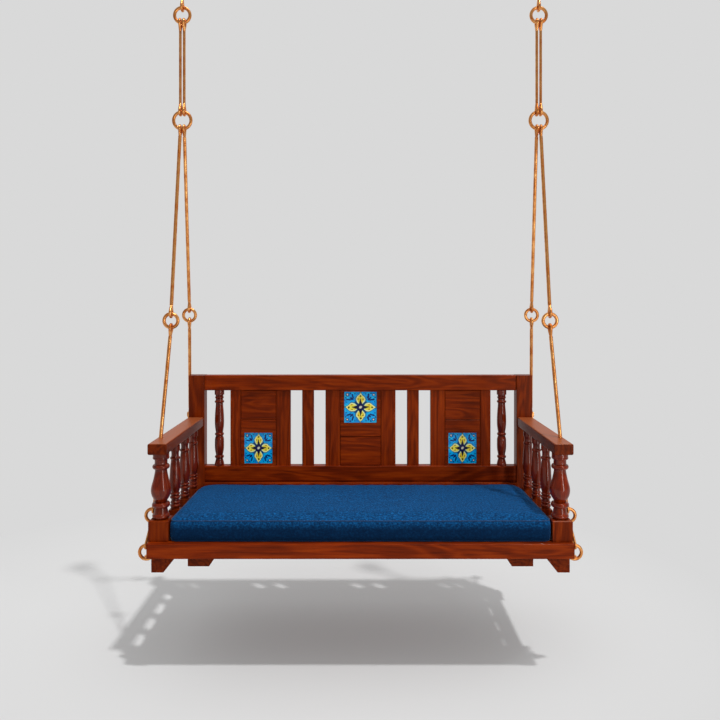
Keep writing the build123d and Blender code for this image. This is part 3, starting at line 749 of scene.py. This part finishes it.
def make_cushion():
    """A closed box cushion: top panel, walls that swell by the root of a half sine, flat base.

    Returns it, the points that its seams and base hold, and the path of the top seam.
    """
    count_x = int((CUSHION_HIGH.x - CUSHION_LOW.x) / CELL)
    count_y = int((CUSHION_HIGH.y - CUSHION_LOW.y) / CELL)
    u, v = np.meshgrid(np.linspace(-1, 1, count_x), np.linspace(-1, 1, count_y), indexing="ij")
    x, y = cushion_plan(u, v)
    top = np.stack([x, y, cushion_top(x, y, u, v)], -1).reshape(-1, 3)
    base = top.copy()
    base[:, 2] = CUSHION_LOW.z + BASE_LIFT
    rim = grid_rim(count_x, count_y)
    seam = top[rim]
    ahead = np.roll(seam, -1, 0) - np.roll(seam, 1, 0)
    outward = np.stack([ahead[:, 1], -ahead[:, 0]], -1)
    outward /= np.linalg.norm(outward, axis=1, keepdims=True)
    swell = WALL_BULGE + FRONT_BULGE * np.clip(-outward[:, 1:], 0, 1) ** 2
    rings = []
    for share in np.linspace(0, 1, WALL_RINGS + 1)[1:-1]:
        ring = seam.copy()
        ring[:, :2] += outward * swell * math.sin(math.pi * share) ** 0.5
        ring[:, 2] = seam[:, 2] * (1 - share) + base[rim, 2] * share
        rings.append(ring)
    base_start = len(top) + len(rings) * len(rim)
    levels = [rim]
    levels += [len(top) + n * len(rim) + np.arange(len(rim)) for n in range(len(rings))]
    levels += [base_start + rim]
    faces = [grid_faces(count_x, count_y)[:, ::-1], grid_faces(count_x, count_y, start=base_start)]
    for upper, lower in zip(levels[:-1], levels[1:]):
        faces.append(np.stack([upper, lower, np.roll(lower, -1), np.roll(upper, -1)], -1))
    made = mesh_object("seat_cushion", np.concatenate([top, *rings, base]), np.concatenate(faces))
    held = [int(i) for i in rim] + list(range(base_start, base_start + len(base)))
    return made, held, seam


def puff(piece, held):
    """Swells the piece by cloth under pressure with its seams and base held, and caps each point's travel."""
    rest = np.zeros(len(piece.data.vertices) * 3)
    piece.data.vertices.foreach_get("co", rest)
    group = piece.vertex_groups.new(name="seams")
    group.add(held, 1.0, "REPLACE")
    cloth = piece.modifiers.new("cloth", "CLOTH")
    cloth.settings.vertex_group_mass = "seams"
    cloth.settings.use_pressure = True
    cloth.settings.uniform_pressure_force = CLOTH_PRESSURE
    cloth.settings.effector_weights.gravity = 0
    cloth.settings.quality = 4
    cloth.settings.tension_stiffness = CLOTH_STIFFNESS
    cloth.settings.compression_stiffness = CLOTH_STIFFNESS
    cloth.settings.bending_stiffness = CLOTH_BENDING
    cloth.settings.shrink_min = CLOTH_SHRINK
    cloth.point_cache.frame_end = CLOTH_STEPS
    for step in range(1, CLOTH_STEPS + 1):
        bpy.context.scene.frame_set(step)
    evaluated = piece.evaluated_get(bpy.context.evaluated_depsgraph_get())
    moved = np.zeros_like(rest)
    evaluated.data.vertices.foreach_get("co", moved)
    piece.modifiers.remove(cloth)
    bpy.context.scene.frame_set(1)
    travel = (moved - rest).reshape(-1, 3)
    distance = np.linalg.norm(travel, axis=1, keepdims=True)
    travel *= np.minimum(1.0, CLOTH_CAP / np.maximum(distance, 1e-9))
    settled = rest.reshape(-1, 3) + travel
    settled[:, 0] = np.clip(settled[:, 0], CUSHION_LOW.x - SIDE_ROOM, CUSHION_HIGH.x + SIDE_ROOM)
    settled[:, 1] = np.clip(settled[:, 1], CUSHION_LOW.y - FRONT_ROOM, CUSHION_HIGH.y + REAR_ROOM)
    piece.data.vertices.foreach_set("co", settled.ravel())
    piece.data.update()


cushion, held_points, seam_points = make_cushion()
puff(cushion, held_points)
smoothing = cushion.modifiers.new("smoothing", "SUBSURF")
smoothing.levels = 1
smoothing.render_levels = 1
cushion.data.materials.append(velvet)
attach(cushion, "cushion")
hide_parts("cushion")


def tube(name, path, radius):
    """A round tube along a closed path: each section stands square to the path's direction."""
    ahead = np.roll(path, -1, 0) - np.roll(path, 1, 0)
    ahead /= np.linalg.norm(ahead, axis=1, keepdims=True)
    side = np.cross(ahead, np.array([0.0, 0.0, 1.0]))
    side /= np.linalg.norm(side, axis=1, keepdims=True)
    over = np.cross(side, ahead)
    angle = np.linspace(0, 2 * math.pi, WELT_SIDES, endpoint=False)[None, :, None]
    points = path[:, None, :] + radius * (side[:, None, :] * np.cos(angle) + over[:, None, :] * np.sin(angle))
    return mesh_object(name, points.reshape(-1, 3), grid_faces(len(path), WELT_SIDES, closed=True)[:, ::-1])


low_seam = seam_points.copy()
low_seam[:, 2] = CUSHION_LOW.z + WELT_BASE_LIFT
for welt_name, welt_path in (("cushion_welt_top", seam_points), ("cushion_welt_base", low_seam)):
    welt = tube(welt_name, welt_path, WELT_RADIUS)
    welt.data.materials.append(piping_cloth)
    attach(welt, "cushion")

# ---------------------------------------------------------------- camera

CAMERA_BACK = 2.4
EYE_HEIGHT = 0.956
IMAGE_SIDE = 720
FOCAL_PIXELS = 676.4
CENTRE_X = 360.5
HORIZON_Y = 304
SENSOR = 36

camera_data = bpy.data.cameras.new("camera")
camera_data.sensor_width = SENSOR
camera_data.lens = SENSOR * FOCAL_PIXELS / IMAGE_SIDE
camera_data.shift_x = (IMAGE_SIDE / 2 - CENTRE_X) / IMAGE_SIDE
camera_data.shift_y = (HORIZON_Y - IMAGE_SIDE / 2) / IMAGE_SIDE
camera = bpy.data.objects.new("camera", camera_data)
camera.location = (0, FRONT - CAMERA_BACK, EYE_HEIGHT)
camera.rotation_euler = (math.pi / 2, 0, 0)
bpy.context.scene.collection.objects.link(camera)
bpy.context.scene.camera = camera

# ---------------------------------------------------------------- floor and backdrop

FLOOR_Z = -0.38
FLOOR_SIZE = 30
BACKGROUND = rgb(217, 217, 217)
FLOOR_PAINT = 0.612
# Inside an oval the floor is paint with a little of the backdrop's glow, and beyond it plain backdrop.
FLOOR_GLOW = 0.15
OVAL_MIDDLE = (-0.3, 0.35)
OVAL_REACH = (2.0, 1.6)
OVAL_FADE = (0.55, 1.0)


def make_floor():
    """A pale flat floor, lit near the swing and blending with the backdrop further off."""
    half = FLOOR_SIZE / 2
    corners = [(-half, -half, FLOOR_Z), (half, -half, FLOOR_Z), (half, half, FLOOR_Z), (-half, half, FLOOR_Z)]
    floor = mesh_object("floor", corners, [(0, 1, 2, 3)])
    material, tools, shader, place = new_material("pale_floor", 0.9, Specular_IOR_Level=0.0)
    shader["Base Color"].default_value = (FLOOR_PAINT, FLOOR_PAINT, FLOOR_PAINT, 1)
    plain = tools.add("ShaderNodeEmission")
    plain.inputs[0].default_value = BACKGROUND
    offsets = [
        tools.math("DIVIDE", tools.math("SUBTRACT", part, middle), reach)
        for part, middle, reach in zip(tools.split(place)[:2], OVAL_MIDDLE, OVAL_REACH)
    ]
    away = tools.length(*offsets)
    rays, seen = tools.seen_directly()
    seen = tools.math("MAXIMUM", seen, rays["Is Glossy Ray"])
    mixed = tools.add("ShaderNodeMixShader")
    tools.link(tools.math("MULTIPLY", tools.span(away, *OVAL_FADE, FLOOR_GLOW, 1.0), seen), mixed.inputs[0])
    tools.link(material.node_tree.nodes["Principled BSDF"].outputs[0], mixed.inputs[1])
    tools.link(plain.outputs[0], mixed.inputs[2])
    tools.link(mixed.outputs[0], material.node_tree.nodes["Material Output"].inputs[0])
    floor.data.materials.append(material)


# What reflections see: the full backdrop behind and some of it above, and this share of it in front.
FRONT_GLEAM = 0.45
OVERHEAD_GLEAM = 0.55
BEHIND_FROM, BEHIND_TO = -0.25, 0.45
OVERHEAD_FROM, OVERHEAD_TO = 0.2, 0.9
# What lights the surfaces: a sky that is dim at the horizon and grows brighter overhead.
WORLD_FILL = 0.66
ZENITH_SHARE = 1.35
HORIZON_SHARE = 0.1


def make_world():
    """A pale backdrop for every seen ray, darker in reflections from the front, and a soft sky for the rest."""
    world = bpy.data.worlds.new("world")
    bpy.context.scene.world = world
    world.use_nodes = True
    tools = Shader(world.node_tree)
    direction = tools.add("ShaderNodeTexCoord").outputs["Generated"]
    _, y, z = tools.split(direction)[:3]
    behind = tools.span(y, BEHIND_FROM, BEHIND_TO)
    above = tools.span(z, OVERHEAD_FROM, OVERHEAD_TO, 0.0, OVERHEAD_GLEAM)
    reflected = tools.math("MAXIMUM", tools.math("MAXIMUM", behind, above), FRONT_GLEAM)
    reflected = tools.math("MULTIPLY", reflected, BACKGROUND[0])
    rays, seen = tools.seen_directly()
    upward = tools.math("MAXIMUM", z, 0.0)
    upward = tools.math("MULTIPLY_ADD", upward, ZENITH_SHARE * WORLD_FILL, HORIZON_SHARE * WORLD_FILL)
    strength = tools.blend(rays["Is Glossy Ray"], upward, reflected)
    tools.link(tools.blend(seen, strength, BACKGROUND), world.node_tree.nodes["Background"].inputs[0])


make_floor()
make_world()

# ---------------------------------------------------------------- lamps

KEY_DIRECTION = (-0.25, 0.24, -1)
KEY_STRENGTH = 1.84
KEY_ANGLE = 2.5
BOX_PLACE = (2.15, -3.1, 0.85)
BOX_TARGET = (0, 0, 0.5)
BOX_SIZE = (0.36, 2.4)
BOX_POWER = 34


def hang_lamp(name, kind, energy):
    """A new lamp of a kind and the object that holds it."""
    lamp = bpy.data.lights.new(name, kind)
    lamp.energy = energy
    holder = bpy.data.objects.new(name, lamp)
    bpy.context.scene.collection.objects.link(holder)
    return lamp, holder


def sun(name, direction, strength, angle):
    """A far lamp that shines along a direction, softened by its angle in degrees."""
    lamp, holder = hang_lamp(name, "SUN", strength)
    lamp.angle = math.radians(angle)
    flat = math.hypot(direction[0], direction[1])
    holder.rotation_euler = (math.atan2(flat, -direction[2]), 0, math.atan2(-direction[0], direction[1]))


def soft_box(name, place, target, size, power):
    """A tall soft lamp of width and height size, turned from its place to the target."""
    lamp, holder = hang_lamp(name, "AREA", power)
    lamp.shape = "RECTANGLE"
    lamp.size, lamp.size_y = size
    holder.location = place
    holder.rotation_euler = (Vector(target) - Vector(place)).to_track_quat("-Z", "Y").to_euler()


sun("key", KEY_DIRECTION, KEY_STRENGTH, KEY_ANGLE)
soft_box("fill", BOX_PLACE, BOX_TARGET, BOX_SIZE, BOX_POWER)

bpy.context.scene.view_settings.view_transform = "Standard"
